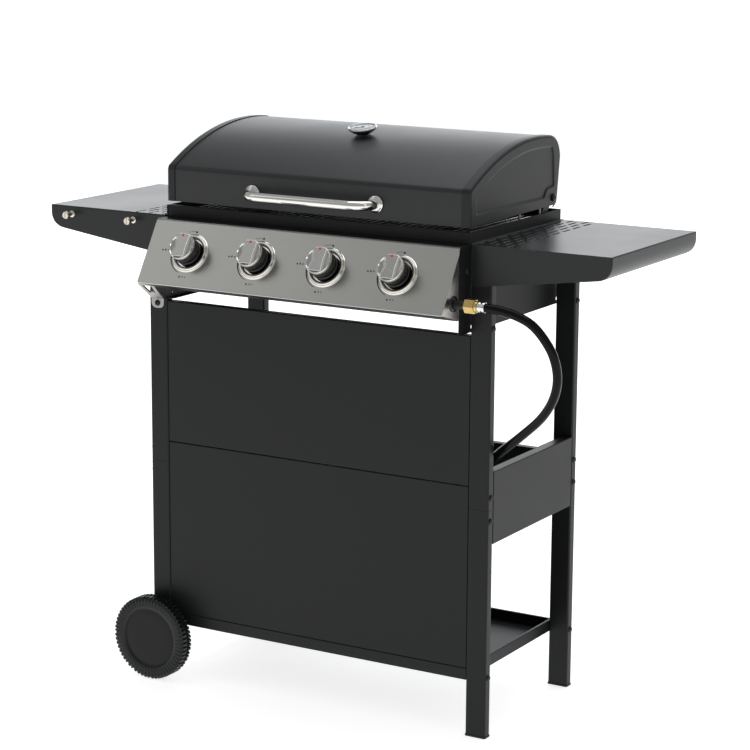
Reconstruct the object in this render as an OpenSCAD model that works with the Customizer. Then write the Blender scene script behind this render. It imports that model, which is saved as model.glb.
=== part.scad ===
// Gas barbecue on a two-wheeled cart: four burners, a hinged lid, two side tables.
// Millimetres. +X to the cook's right, +Y to the back, +Z up. The origin is on the
// floor, under the middle of the whole object.

/* [Cart] */
// Width over the legs
cart_w = 672; // [660:2:690]
// Depth over the legs
cart_d = 324; // [316:2:330]
// Width of a leg tube, seen from the front
leg_w = 37; // [34:0.5:38]
// Depth of a leg tube, seen from the side
leg_d = 18; // [16:0.5:20]
// Wall of the leg tubes
leg_wall = 1.2; // [1:0.1:1.8]
// Height of the joint between the lower and upper legs
leg_joint_z = 391; // [385:1:395]
// Thickness of the sheet steel
sheet = 1.2; // [0.8:0.1:1.5]
// Underside of the bottom shelf
shelf_z = 96; // [90:1:100]
// Height of the bottom shelf's lips
shelf_lip = 20.5; // [16:0.5:20.5]
// Width of the folded edge on the bottom shelf's lips
shelf_hem = 5; // [3:0.5:8]

/* [Cart panels] */
// Height of the seam between the two front panels
seam_z = 428; // [420:1:436]
// Top of the upper front panel
front_top_z = 678; // [670:1:684]
// Bottom of the side panels
side_low_z = 331; // [320:1:340]
// Top of the side panels
side_top_z = 454; // [448:1:454]
// Depth of the side panels' folded flanges
side_flange = 18; // [14:1:18]
// Bottom of the rear panel
rear_low_z = 310; // [300:1:320]
// Top of the rear panel
rear_top_z = 424; // [416:1:432]

/* [Firebox] */
// Outside width of the firebox with its end plates
box_w = 592; // [590:1:594]
// Height of the firebox rim
rim_z = 846; // [844:0.5:846]
// Bottom of the firebox's front and rear walls
box_low_z = 735; // [730:1:738]
// Lowest part of the firebox, round its drain
drain_z = 715; // [712:1:718]
// Bottom of the end plates
plate_low_z = 683; // [682:1:688]
// Height of the burner tubes' axes
burner_z = 752; // [750:0.5:753]
// Outside diameter of a burner tube
burner_d = 24; // [20:1:26]
// Diameter of the cooking grates' rods
grate_rod_d = 5; // [4:0.5:6]
// Height of the warming rack
rack_z = 895; // [885:1:905]

/* [Control panel] */
// Height of the control panel's top edge
panel_top_z = 826; // [824:0.5:827]
// How far the panel's top edge is in front of the legs
panel_top_out = 30; // [28:0.5:32]
// How far the panel's face runs forward from top to bottom
panel_run = 63; // [61:0.5:65]
// How far the panel's face drops from top to bottom
panel_drop = 102; // [100:0.5:104]
// Distance between neighbouring knobs
knob_pitch = 135; // [133:0.5:137]
// Outside diameter of a knob's bezel
bezel_d = 70; // [67:1:74]
// Diameter of a knob at its skirt
knob_d = 47.5; // [46:0.5:50]
// Height of a knob's face above the panel
knob_h = 33; // [30:0.5:36]
// How far a knob is pushed in to free it
knob_travel = 3; // [2:0.5:3]
// Diameter of the valve stems
stem_d = 8; // [6:0.5:8]

/* [Lid] */
// Width of the lid
lid_w = 591; // [589:1:591]
// Gap between the firebox rim and the lid
lid_gap = 6; // [6:0.5:7]
// Radius of the lid's crown
crown_r = 465; // [460:1:470]
// Radius of the bend over the lid's front
knee_r = 12; // [8:1:16]
// Radius of the bend over the lid's back
back_r = 39.5; // [36:0.5:42]
// How far the caps at the lid's ends reach over its sheet
cap_lap = 16; // [12:1:18]
// Diameter of the hinge pins
pin_d = 8; // [6:0.5:8]
// Diameter of the handle's tube
handle_d = 16; // [14:0.5:18]
// Distance between the handle's two ends
handle_span = 240; // [200:5:260]
// Distance of the handle's bar from the lid
handle_out = 35; // [32:1:38]
// Diameter of the thermometer
dial_d = 50; // [46:1:54]

/* [Side tables] */
// Height of the side tables
table_z = 828; // [824:1:828]
// Outer end of each side table, from the middle
table_end = 547; // [540:1:550]
// Height of the tables' skirts at their outer end
end_skirt = 36.5; // [32:0.5:40]
// Height of the tables' skirts beside the firebox
front_skirt = 69.5; // [60:0.5:76]
// Radius of the skirts' outer lower corners
skirt_r = 26; // [20:1:28]
// Length of a vent slot
slot_l = 29; // [24:1:32]
// Width of a vent slot
slot_w = 4.5; // [3:0.5:6]

/* [Wheels] */
// Diameter of the wheels
wheel_d = 150; // [140:2:150]
// Width of the wheels
wheel_w = 30; // [26:1:32]
// Diameter of the axle
axle_d = 10; // [8:0.5:10]

/* [Gas line] */
// Outside diameter of the gas hose
hose_d = 15; // [13:0.5:15]
// Width across the flats of the hose nut
nut_af = 22; // [19:1:24]
// Diameter of the gas manifold
manifold_d = 16; // [14:0.5:16]
// Diameter of the regulator's threaded inlet
inlet_d = 21; // [20:0.1:22]

/* [Hidden] */
// From the middle of the whole to the middle of the cart
cart_y = 30;
half_w = cart_w / 2;
half_d = cart_d / 2;
leg_x = half_w - leg_w / 2;
leg_y = half_d - leg_d / 2;
bay_x = half_w - leg_w;
FIT = 0.05;
GAP = 0.3;
box_x = box_w / 2;
LEFT = -1;
RIGHT = 1;
FRONT = -1;
REAR = 1;

// Screws along X through the legs' outer faces: height and length of the shank
SCREWS = [[104, 39.8], [372, 12], [412, 12], [692, 43]];
screw_r = 3;
screw_head_r = 5.2;

// Left legs stop above the floor, behind the wheels
left_leg_z = 50;
foot_t = 3;

// Control panel's face, in a plane square to X
panel_y = -half_d - panel_top_out;
lip_y = panel_y - panel_run;
lip_z = panel_top_z - panel_drop;
panel_back_y = panel_y - 4;
panel_tilt = atan2(panel_drop, panel_run);
// The knobs' row is a little over the middle of the face and to the left of the cart's
knob_rise = 2;
knob_row_x = -4;
knob_y = (panel_y + lip_y) / 2 + knob_rise * cos(panel_tilt);
knob_z = (panel_top_z + lip_z) / 2 + knob_rise * sin(panel_tilt);
KNOB_X = [for (i = [-1.5:1:1.5]) knob_row_x + i * knob_pitch];

// The stem ends short of the knob's bore, by the knob's travel
stem_bore_z = 20;
stem_foot_z = -34;

// Gas manifold, parallel to X behind the panel
manifold_y = -half_d - 53;
manifold_z = 738;
nut_x = 319;
collar_x = 336;
ferrule_x = 341;
hose_x = 353;

// Lid, in a plane square to X
lid_z = rim_z + lid_gap;
lid_x = lid_w / 2;
lid_front_y = -half_d - 0.7;
crown_y = 75;
crown_z = 978.2 - crown_r;
knee_y = lid_front_y + knee_r;
knee_z = crown_z + sqrt(pow(crown_r - knee_r, 2) - pow(crown_y - knee_y, 2));
knee_a = atan2(knee_z - crown_z, knee_y - crown_y);
back_y = 119.5;
back_z = crown_z + sqrt(pow(crown_r - back_r, 2) - pow(back_y - crown_y, 2));
back_a = atan2(back_z - crown_z, back_y - crown_y);
// The lid's back leans in by this angle down to the height where its sheet ends
back_lean = 7.6;
back_end_z = 864;
heel_r = 15;
hinge_y = 132;
hinge_z = 869;
handle_z = 878;
handle_bend = 30;
dial_y = -3;
dial_lean = asin((crown_y - dial_y) / crown_r);
dial_z = crown_z + crown_r * cos(dial_lean);

// Wheels
wheel_out_y = half_d + 43;
wheel_z = wheel_d / 2;

// Drip tray under the firebox
tray_x = 110;
tray_y = [-90, 150];
tray_z = [690, 708];

// Gas hose: out of the ferrule, down and back over the right side panel's flange,
// down inside the cart, round on the bottom shelf and up to the regulator.
HOSE = [
    [353, -185, 738], [378, -184, 736], [406, -182, 730], [431, -178, 718],
    [450, -172, 697], [464, -164, 668], [467, -154, 632], [455, -142, 595],
    [428, -128, 558], [386, -113, 521], [342, -99, 486], [313, -90, 461],
    [292, -84, 434], [279, -79, 402], [272, -75, 365], [268, -72, 320],
    [266, -69, 270], [263, -65, 220], [254, -59, 174], [234, -50, 138],
    [204, -38, 114], [168, -26, 106], [128, -18, 105], [90, -10, 105],
    [54, 4, 105], [24, 28, 105], [4, 60, 106], [-2, 92, 110], [-2, 116, 113]
];
regulator_at = [-2, 158, 97.6];
regulator_r = 28;

$fn = 48;

// ---- shapes that repeat ----

// Points of an arc about c, from angle a0 to a1 in n steps
function arc(c, r, a0, a1, n) =
    [for (i = [0:n]) let (a = a0 + (a1 - a0) * i / n) c + r * [cos(a), sin(a)]];

// Points of a w by d rectangle about the origin, with corners of radius r
function round_box(w, d, r, n = 3) = [
    for (q = [0:3])
        let (sx = q == 0 || q == 3 ? 1 : -1, sy = q < 2 ? 1 : -1)
        each arc([sx * (w / 2 - r), sy * (d / 2 - r)], r, 90 * q, 90 * q + 90, n)
];

function unit(v) = v / norm(v);
function left_of(v) = [-v.y, v.x];

// Point i of path p, moved t to the left of the way that the path runs
function aside(p, i, t) =
    let (
        before = unit(i > 0 ? p[i] - p[i - 1] : p[1] - p[0]),
        after = i < len(p) - 1 ? unit(p[i + 1] - p[i]) : before,
        way = unit(left_of(before) + left_of(after))
    )
    p[i] + way * t / (way * left_of(before));
function set_aside(p, t) = [for (i = [0:len(p) - 1]) aside(p, i, t)];
function backwards(p) = [for (i = [len(p) - 1:-1:0]) p[i]];

// Outline of a bent sheet that runs along path p, t thick to the left of it
function bent(p, t) = concat(p, backwards(set_aside(p, t)));

// Extrudes a (Y, Z) outline from x0 to x1
module along_x(x0, x1) {
    translate([x0, 0, 0]) rotate([90, 0, 90]) linear_extrude(x1 - x0) children();
}

// Extrudes an (X, Z) outline from y0 to y1
module along_y(y0, y1) {
    translate([0, y1, 0]) rotate([90, 0, 0]) linear_extrude(y1 - y0) children();
}

// A rod of diameter d from a, along X, Y or Z
module rod_x(a, l, d) translate(a) rotate([0, 90, 0]) cylinder(h = l, d = d);
module rod_y(a, l, d) translate(a) rotate([-90, 0, 0]) cylinder(h = l, d = d);
module rod_z(a, l, d) translate(a) cylinder(h = l, d = d);

// A sheet pan: a box from a to b, open on one face ("+x", "-x", "+y", "-y" or "+z")
module pan(a, b, open, t = sheet) {
    cut_a = [for (i = [0:2]) a[i] + (open == ["-x", "-y", "-z"][i] ? -1 : t)];
    cut_b = [for (i = [0:2]) b[i] - (open == ["+x", "+y", "+z"][i] ? -1 : t)];
    difference() {
        translate(a) cube(b - a);
        translate(cut_a) cube(cut_b - cut_a);
    }
}

// Everything below is placed from the middle of the cart
module at_cart() translate([0, cart_y, 0]) children();
module mirrored(side) mirror([side == LEFT ? 1 : 0, 0, 0]) children();
module turned(end) mirror([0, end == REAR ? 1 : 0, 0]) children();

// Puts a knob's own frame on the panel: +Z away from it, +Y up its slope
module at_knob(i) {
    translate([KNOB_X[i], knob_y, knob_z]) rotate([panel_tilt, 0, 0]) children();
}

// ---- cart ----

module tube(h, w, d, wall) {
    linear_extrude(h) difference() {
        polygon(round_box(w, d, 3));
        polygon(round_box(w - 2 * wall, d - 2 * wall, 3 - wall));
    }
}

// The frame screws' shanks for one side, r thick
module shanks(side, r) {
    mirrored(side) for (end = [FRONT, REAR], s = SCREWS)
        translate([half_w - s[1], end * leg_y, s[0]])
            rotate([0, 90, 0]) cylinder(h = s[1], r = r);
}

module leg_lower(side, end) {
    color([0.16, 0.165, 0.17]) at_cart() difference() {
        low_z = side == LEFT ? left_leg_z : foot_t;
        translate([side * leg_x, end * leg_y, low_z])
            tube(leg_joint_z - low_z, leg_w, leg_d, leg_wall);
        shanks(side, screw_r + FIT);
        if (side == LEFT)
            rod_y([-leg_x, -half_d - 5, wheel_z], cart_d + 10, axle_d + 2 * FIT);
    }
}

// The upper leg carries a spigot that plugs into the lower one
module leg_upper(side, end) {
    inner_w = leg_w - 2 * leg_wall;
    inner_d = leg_d - 2 * leg_wall;
    color([0.16, 0.165, 0.17]) at_cart() difference() {
        translate([side * leg_x, end * leg_y, leg_joint_z]) {
            tube(table_z - sheet - leg_joint_z, leg_w, leg_d, leg_wall);
            tube(15, inner_w, inner_d, leg_wall);
            translate([0, 0, -35]) tube(35, inner_w - GAP, inner_d - GAP, leg_wall);
        }
        shanks(side, screw_r + FIT);
    }
}

module foot_caps() {
    plug_w = leg_w - 2 * leg_wall - GAP;
    plug_d = leg_d - 2 * leg_wall - GAP;
    color([0.08, 0.08, 0.085]) at_cart() for (end = [FRONT, REAR], side = [LEFT, RIGHT])
        translate([side * leg_x, end * leg_y, side == LEFT ? left_leg_z - foot_t : 0]) {
            linear_extrude(foot_t) polygon(round_box(leg_w + 2, leg_d + 2, 3.5));
            linear_extrude(foot_t + 14) polygon(round_box(plug_w, plug_d, 1.6));
        }
}

module bottom_shelf() {
    top_z = shelf_z + shelf_lip;
    x = bay_x - 0.2;
    y = half_d - 1;
    color([0.17, 0.175, 0.18]) at_cart() difference() {
        translate([-x, -y, shelf_z]) cube([2 * x, 2 * y, shelf_lip]);
        translate([-x + sheet, -y + sheet, shelf_z + sheet])
            cube([2 * (x - sheet), 2 * (y - sheet), shelf_lip - 2 * sheet]);
        translate([-x + shelf_hem, -y + shelf_hem, top_z - 2 * sheet])
            cube([2 * (x - shelf_hem), 2 * (y - shelf_hem), 3 * sheet]);
        shanks(LEFT, screw_r + FIT);
        shanks(RIGHT, screw_r + FIT);
    }
}

module front_panel(z0, z1) {
    color([0.19, 0.195, 0.2]) at_cart()
        pan([-bay_x + 0.5, -half_d + 1, z0], [bay_x - 0.5, -half_d + 15, z1], "+y");
}

module side_panel(side) {
    color([0.22, 0.225, 0.22]) at_cart() mirrored(side)
        pan([half_w - side_flange, -half_d + leg_d + 0.5, side_low_z],
            [half_w, half_d - leg_d - 0.5, side_top_z], "-x");
}

module rear_panel() {
    color([0.19, 0.195, 0.2]) at_cart()
        pan([-bay_x + 0.5, half_d - 16, rear_low_z], [bay_x - 0.5, half_d - 1, rear_top_z], "-y");
}

module screw_head() {
    rotate_extrude() polygon([[0, 0], [screw_head_r, 0], [screw_head_r, 1],
        [4.2, 2.3], [2, 2.8], [0, 2.9]]);
}

module frame_screws() {
    color([0.1, 0.1, 0.1]) at_cart() {
        for (side = [LEFT, RIGHT]) {
            shanks(side, screw_r);
            mirrored(side) for (end = [FRONT, REAR], s = SCREWS)
                translate([half_w, end * leg_y, s[0]]) rotate([0, 90, 0]) screw_head();
            // One screw in each end plate, behind the control panel
            mirrored(side) translate([box_x, -half_d - 9, 785]) rotate([0, 90, 0]) screw_head();
        }
        // The bottle opener's screw
        translate([-leg_x, -half_d - 2.2, 673]) rotate([90, 0, 0]) screw_head();
    }
}

// ---- firebox and what it holds ----

function box_path() = [[-half_d, rim_z], [-half_d, box_low_z], [-30, drain_z],
    [30, drain_z], [half_d, box_low_z], [half_d, rim_z]];
ledge_z = 822.3;
tamer_ledge_z = 783;
rack_foot_z = 820;
box_in_x = box_x - sheet;

module drip_runner() {
    // The web's top follows the firebox's sloping floor
    slope = (box_low_z - drain_z) / (half_d - 30);
    web = [[tray_y[0], 705.3], [tray_y[1], 705.3],
        [tray_y[1], drain_z + 0.6 + (tray_y[1] - 30) * slope], [30, drain_z + 0.6],
        [-30, drain_z + 0.6], [tray_y[0], drain_z + 0.6 + (-tray_y[0] - 30) * slope]];
    along_x(tray_x + 10, tray_x + 11.2) polygon(web);
    translate([tray_x + 1.5, tray_y[0], 705.3]) cube([9, tray_y[1] - tray_y[0], 1.2]);
}

module firebox() {
    color([0.13, 0.13, 0.135]) at_cart() difference() {
        union() {
            along_x(-box_in_x, box_in_x) polygon(bent(box_path(), sheet));
            for (end = [FRONT, REAR], ledge = [[rim_z - sheet, 6], [ledge_z, 11], [tamer_ledge_z, 11]])
                turned(end) translate([-box_in_x, -half_d + sheet / 2, ledge[0]])
                    cube([2 * box_in_x, ledge[1], sheet]);
            for (side = [LEFT, RIGHT]) mirrored(side) drip_runner();
        }
        for (x = KNOB_X) {
            rod_y([x, -half_d - 5, burner_z], 15, burner_d + 1.2);
            rod_y([x + 22, -half_d - 5, burner_z + 12], 15, 6.4);
        }
        translate([-60, -28, drain_z - 5]) cube([120, 56, 12]);
    }
}

module firebox_plate(side) {
    edge_z = panel_top_z - (panel_y - panel_back_y) * panel_drop / panel_run;
    // The left plate's corner is cut away behind the bottle opener
    corner = side == LEFT ? [[panel_back_y, plate_low_z + 23], [panel_back_y + 26, plate_low_z]]
        : arc([panel_back_y + 3, plate_low_z + 3], 3, 180, 270, 3);
    outline = concat([[-half_d - 1, rim_z], [-half_d - 1, panel_top_z], [panel_y, panel_top_z],
        [panel_back_y, edge_z]], corner, [[half_d, plate_low_z], [half_d, rim_z]]);
    color([0.13, 0.13, 0.135]) at_cart() difference() {
        mirrored(side) {
            along_x(box_in_x, box_x) polygon(outline);
            translate([box_x - 12, -half_d, plate_low_z]) cube([12, cart_d, sheet]);
            // Ledge for the warming rack's feet
            translate([box_x - 9, 8, rack_foot_z - sheet]) cube([9 - sheet / 2, 89, sheet]);
        }
        shanks(side, screw_r + FIT);
    }
}

module control_panel() {
    face = [[-half_d - 1, panel_top_z], [panel_y, panel_top_z], [lip_y, lip_z], [panel_back_y - 2, 707.4]];
    cheek_z = panel_top_z - (panel_y - panel_back_y + 2) * panel_drop / panel_run;
    cheek = [[panel_back_y - 2, cheek_z], [lip_y, lip_z], [panel_back_y - 2, 707.4]];
    color([0.66, 0.66, 0.65]) at_cart() difference() {
        union() {
            along_x(-box_in_x, box_in_x) polygon(bent(face, sheet));
            along_x(box_in_x, box_x) polygon(cheek);
            along_x(-box_x, -box_in_x) polygon(cheek);
        }
        for (i = [0:3]) at_knob(i) translate([0, 0, -5]) cylinder(h = 10, r = 9);
        rod_x([box_x - 5, manifold_y, manifold_z], 10, manifold_d + 4);
    }
}

module knob_bezels() {
    ring = [[9.5, 0], [bezel_d / 2, 0], [bezel_d / 2, 3], [bezel_d / 2 - 2, 5.4], [bezel_d / 2 - 5, 6],
        [knob_d / 2 + 2, 4.5], [knob_d / 2 + 1.5, 0.8], [9.5, 0.8]];
    color([0.8, 0.8, 0.8]) at_cart() for (i = [0:3]) at_knob(i) rotate_extrude() polygon(ring);
}

module manifold() {
    color([0.2, 0.2, 0.2]) at_cart() difference() {
        rod_x([KNOB_X[0] - 34, manifold_y, manifold_z], nut_x + 2 - KNOB_X[0] + 34, manifold_d);
        rod_x([KNOB_X[0] - 32, manifold_y, manifold_z], nut_x + 5 - KNOB_X[0] + 32, manifold_d - 4);
    }
}

module valves() {
    inlet_at = -27;
    color([0.75, 0.62, 0.3]) at_cart() for (i = [0:3]) difference() {
        union() {
            at_knob(i) translate([0, 0, -40]) cylinder(h = 32, r = 12);
            at_knob(i) translate([0, 0, inlet_at]) rotate([90, 0, 0]) cylinder(h = 26, r = 6);
            rod_y([KNOB_X[i], -half_d - 33, burner_z], 30, 10);
        }
        at_knob(i) translate([0, 0, stem_foot_z - 2]) cylinder(h = 40, r = stem_d / 2 + FIT);
        rod_x([KNOB_X[i] - 20, manifold_y, manifold_z], 40, manifold_d);
    }
}

module burner(i) {
    front_y = -half_d - 16;
    back_y = half_d - 22;
    color([0.6, 0.6, 0.58]) at_cart() {
        difference() {
            rod_y([KNOB_X[i], front_y, burner_z], back_y - front_y, burner_d);
            rod_y([KNOB_X[i], front_y + 1.5, burner_z], back_y - front_y - 3, burner_d - 2);
            rod_y([KNOB_X[i], front_y - 1, burner_z], 5, 18);
            // Air window in the venturi
            translate([KNOB_X[i] - 5, front_y + 4, burner_z]) cube([10, 9, burner_d]);
        }
        // Tab that carries the closed end
        translate([KNOB_X[i] - 6, back_y - 1, burner_z - 1])
            cube([12, half_d - sheet - back_y + 1, 2]);
    }
}

module flame_tamers() {
    roof = [[-55, 784.6], [0, 806], [55, 784.6]];
    color([0.5, 0.5, 0.5]) at_cart() for (x = KNOB_X)
        translate([x, 0, 0]) along_y(-half_d + 4, half_d - 4) polygon(bent(roof, 1));
}

module igniters() {
    color([0.92, 0.92, 0.9]) at_cart() for (x = KNOB_X) {
        rod_y([x + 22, -half_d - 12, burner_z + 12], 50, 6);
        rod_y([x + 22, -half_d + 37, burner_z + 12], 12, 2);
    }
}

module grate(side) {
    inner_x = 5.5;
    outer_x = 282.5;
    rods = 20;
    bar_d = 6;
    bar_z = ledge_z + sheet + bar_d / 2;
    rod_at = bar_z + bar_d / 2 + grate_rod_d / 2 - 0.6;
    color([0.25, 0.25, 0.25]) at_cart() mirrored(side) {
        for (i = [0:rods - 1])
            rod_y([inner_x + (outer_x - inner_x) * i / (rods - 1), -152, rod_at], 304, grate_rod_d);
        for (y = [-148, 148])
            rod_x([inner_x - 2, y, bar_z], outer_x - inner_x + 4, bar_d);
    }
}

module warming_rack() {
    rod = 5;
    end_x = 286;
    foot_x = 290.6;
    color([0.75, 0.75, 0.75]) at_cart() {
        for (i = [0:4]) rod_x([-end_x, 16 + 22 * i, rack_z], 2 * end_x, rod);
        for (side = [LEFT, RIGHT]) mirrored(side) {
            rod_y([end_x, 10, rack_z], 100, rod);
            // The feet are welded to the outside of the end rods
            for (y = [18, 92]) rod_z([foot_x, y, rack_foot_z], rack_z - rack_foot_z, 4);
        }
    }
}

// ---- lid and hinge ----

// The sheet's line: up the front, over the crown and down the back
function lid_path() =
    let (
        back_n = [cos(back_lean), -sin(back_lean)],
        start = [back_y, back_z] + back_r * back_n,
        down = [-sin(back_lean), -cos(back_lean)],
        long = (start.y - back_end_z) / cos(back_lean)
    )
    concat([[lid_front_y, lid_z]],
        arc([knee_y, knee_z], knee_r, 180, knee_a, 5),
        arc([crown_y, crown_z], crown_r, knee_a - 2, back_a + 2, 16),
        arc([back_y, back_z], back_r, back_a, -back_lean, 9),
        [start + down * long]);

module lid_shell() {
    line = concat([[lid_front_y + 12, lid_z]], lid_path());
    color([0.2, 0.2, 0.205]) at_cart() difference() {
        along_x(-lid_x + sheet + 0.2, lid_x - sheet - 0.2)
            polygon(bent(set_aside(line, -sheet), -1));
        at_dial() translate([0, 0, -15]) cylinder(h = 30, r = 3 + GAP);
    }
}

module lid_cap(side) {
    line = lid_path();
    tail = line[len(line) - 1];
    heel = tail - heel_r * [cos(back_lean), -sin(back_lean)];
    outline = concat(line, arc(heel, heel_r, -back_lean, -90, 5));
    color([0.2, 0.2, 0.205]) at_cart() mirrored(side) difference() {
        union() {
            along_x(lid_x - sheet, lid_x) polygon(outline);
            along_x(lid_x - cap_lap, lid_x) polygon(bent(line, -sheet));
        }
        rod_x([lid_x - 5, hinge_y, hinge_z], 10, pin_d + 2 * 0.06);
    }
}

module hinge_brackets() {
    arm = [[hinge_y - 8, hinge_z + 1], [hinge_y - 34, 846], [hinge_y - 34, 800], [hinge_y - 10, 800],
        [hinge_y - 12, 844], [hinge_y + 4, hinge_z - 7]];
    color([0.15, 0.15, 0.15]) at_cart() for (side = [LEFT, RIGHT]) mirrored(side) {
        difference() {
            union() {
                along_x(lid_x - 6.5, lid_x - 4.5) polygon(arm);
                rod_x([lid_x - 6.5, hinge_y, hinge_z], 2, 16);
            }
            rod_x([lid_x - 10, hinge_y, hinge_z], 10, pin_d + 2 * FIT);
        }
        // Spacers that hold the bracket to the end plate
        for (z = [808, 830]) rod_x([lid_x - 4.5, hinge_y - 22, z], box_in_x - lid_x + 4.5, 10);
    }
}

module hinge_pins() {
    color([0.12, 0.12, 0.12]) at_cart() for (side = [LEFT, RIGHT]) mirrored(side) {
        rod_x([lid_x - 8.5, hinge_y, hinge_z], 9.5, pin_d);
        translate([lid_x + 1, hinge_y, hinge_z]) rotate([0, 90, 0])
            rotate_extrude() polygon([[0, 0], [7, 0], [7, 1], [5, 2.8], [0, 3.2]]);
    }
}

module lid_handle() {
    stub = handle_out - handle_bend;
    bar_y = lid_front_y - handle_out;
    end_x = handle_span / 2;
    color([0.85, 0.85, 0.85]) at_cart() {
        rod_x([-end_x + handle_bend, bar_y, handle_z], handle_span - 2 * handle_bend, handle_d);
        for (side = [LEFT, RIGHT]) mirrored(side) {
            rod_y([end_x, lid_front_y - stub, handle_z], stub, handle_d);
            translate([end_x - handle_bend, lid_front_y - stub, handle_z]) rotate([0, 0, -90])
                rotate_extrude(angle = 90) translate([handle_bend, 0]) circle(d = handle_d);
        }
    }
}

module handle_rosettes() {
    color([0.85, 0.85, 0.85]) at_cart() for (side = [LEFT, RIGHT])
        translate([side * handle_span / 2, lid_front_y, handle_z]) rotate([90, 0, 0])
            rotate_extrude() polygon([[handle_d / 2 + FIT, 0], [14.5, 0], [14.5, 1.5], [12, 3.6],
                [handle_d / 2 + FIT, 4.2]]);
}

// The dial's own frame: +Z square to the lid
module at_dial() translate([0, dial_y, dial_z]) rotate([dial_lean, 0, 0]) children();

module thermometer() {
    r = dial_d / 2;
    color([0.85, 0.85, 0.86]) at_cart() at_dial() {
        rotate_extrude() polygon([[0, 0], [11, 0], [14, 1.2], [r - 4, 6], [r - 0.6, 9], [r, 10.4],
            [r - 0.5, 12], [r - 2, 12.6], [r - 3, 11.6], [0, 11.6]]);
        translate([0, 0, -50]) cylinder(h = 50.5, r = 3);
    }
}

// ---- side tables ----

// The skirts' outer lower corner, from the bottom up, as (X, Z) points
function skirt_corner(x0, x1, z1) =
    let (
        rise = atan2(front_skirt - end_skirt, x1 - x0),
        c = [x1 - skirt_r, z1 - end_skirt + skirt_r * (1 / cos(rise) - tan(rise))]
    )
    arc(c, skirt_r, rise - 90, 0, 7);

module table(side) {
    x0 = box_x + 4;
    y = half_d + 0.3;
    t = sheet;
    corner = skirt_corner(x0, table_end, table_z);
    side_outline = concat([[x0, table_z - t / 2], [x0, table_z - front_skirt]], corner,
        [[table_end, table_z - t / 2]]);
    rows = 5;
    row_pitch = 13.7;
    slot_pitch = 39;
    color([0.24, 0.25, 0.26]) at_cart() mirrored(side) {
        difference() {
            translate([x0, -y - t, table_z - t]) cube([table_end - x0, 2 * (y + t), t]);
            for (row = [0:rows - 1], i = [-3.5:1:3.5])
                translate([308 + row_pitch * row, slot_pitch * (i + (row % 2 == 0 ? 0 : 0.5)) - 10, table_z])
                    linear_extrude(10, center = true) polygon(round_box(slot_w, slot_l, 2, 2));
        }
        for (end = [FRONT, REAR]) turned(end)
            along_y(-y - t, -y) polygon(side_outline);
        along_y(-y - t / 2, y + t / 2) polygon(bent(concat(corner, [[table_end, table_z - t / 2]]), t));
    }
}

module tool_pegs() {
    r = 6.5;
    color([0.75, 0.7, 0.6]) at_cart() for (x = [-500, -367])
        translate([x, -half_d - 1.5, 814]) rotate([90, 0, 0]) difference() {
            rotate_extrude() polygon([[0, 0], [6, 0], [6, 1.5], [3.2, 2.5], [3.2, 14], [4.5, 15.5],
                [r, 16.5], [r, 20], [r - 1, 21], [0, 21]]);
            translate([-0.8, -10, 19.5]) cube([1.6, 20, 5]);
        }
}

module bottle_opener() {
    w = 26;
    t = 2.2;
    reach = 47;
    spread = 4;
    slope = 140;
    hole_z = 673;
    bend_z = 684;
    arms = [[-w / 2, -1], [w / 2, -1], [w / 2 + spread, reach - 4], [w / 2 + spread - 3, reach],
        [-w / 2 - spread + 3, reach], [-w / 2 - spread, reach - 4]];
    color([0.72, 0.72, 0.7]) at_cart() translate([-leg_x, -half_d, 0]) {
        difference() {
            along_y(-t, 0) polygon(concat([[-w / 2, bend_z + 2]],
                arc([-4, hole_z], w / 2 - 4, 180, 270, 4), arc([4, hole_z], w / 2 - 4, 270, 360, 4),
                [[w / 2, bend_z + 2]]));
            rod_y([0, -10, hole_z], 20, 10);
        }
        // Two arms that part upwards, with a rounded tongue between them
        translate([0, -t / 2, bend_z]) rotate([slope, 0, 0]) linear_extrude(3.4) difference() {
            polygon(arms);
            difference() {
                polygon([[-6, 14], [6, 14], [9.5, 40], [-9.5, 40]]);
                translate([0, 13]) circle(r = 6.5);
            }
        }
    }
}

// ---- wheels ----

module axle() {
    end_y = wheel_out_y - 8.5;
    color([0.55, 0.55, 0.55]) at_cart() {
        rod_y([-leg_x, -end_y, wheel_z], 2 * end_y, axle_d);
        // A washer against each leg
        for (end = [FRONT, REAR]) turned(end) rod_y([-leg_x, -half_d - 3.6, wheel_z], 3.5, 20);
    }
}

// Revolved about its axle; the second number is the distance in from the outer face
module wheel(end) {
    r = wheel_d / 2;
    w = wheel_w;
    hub_in = wheel_out_y - half_d - 4;
    section = [[0, 5], [30, 4.5], [48, 6.5], [52, 7.5], [54, 2.5], [58, 0.6], [68, 0], [r - 3, 2],
        [r, 6], [r, w - 6], [r - 3, w - 2], [68, w], [60, w], [57, 14], [20, 13], [13, 16],
        [13, hub_in], [axle_d / 2 + 0.06, hub_in], [axle_d / 2 + 0.06, 8], [0, 8]];
    color([0.09, 0.09, 0.095]) at_cart() turned(end)
        translate([-leg_x, -wheel_out_y, wheel_z]) rotate([-90, 0, 0])
            rotate_extrude($fn = 96) polygon(section);
}

// ---- drip tray and knobs ----

module drip_tray() {
    a = [-tray_x, tray_y[0], tray_z[0]];
    b = [tray_x, tray_y[1], tray_z[1]];
    color([0.7, 0.7, 0.7]) at_cart() {
        pan(a, b, "+z", 0.8);
        for (side = [LEFT, RIGHT]) mirrored(side)
            translate([tray_x - 0.4, a.y, b.z - 1.2]) cube([9, b.y - a.y, 1.2]);
        // Pull at the back
        translate([-40, b.y - 0.4, b.z - 1.2]) cube([80, 16, 1.2]);
        translate([-40, b.y + 14.4, b.z - 12]) cube([80, 1.2, 12]);
    }
}

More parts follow.
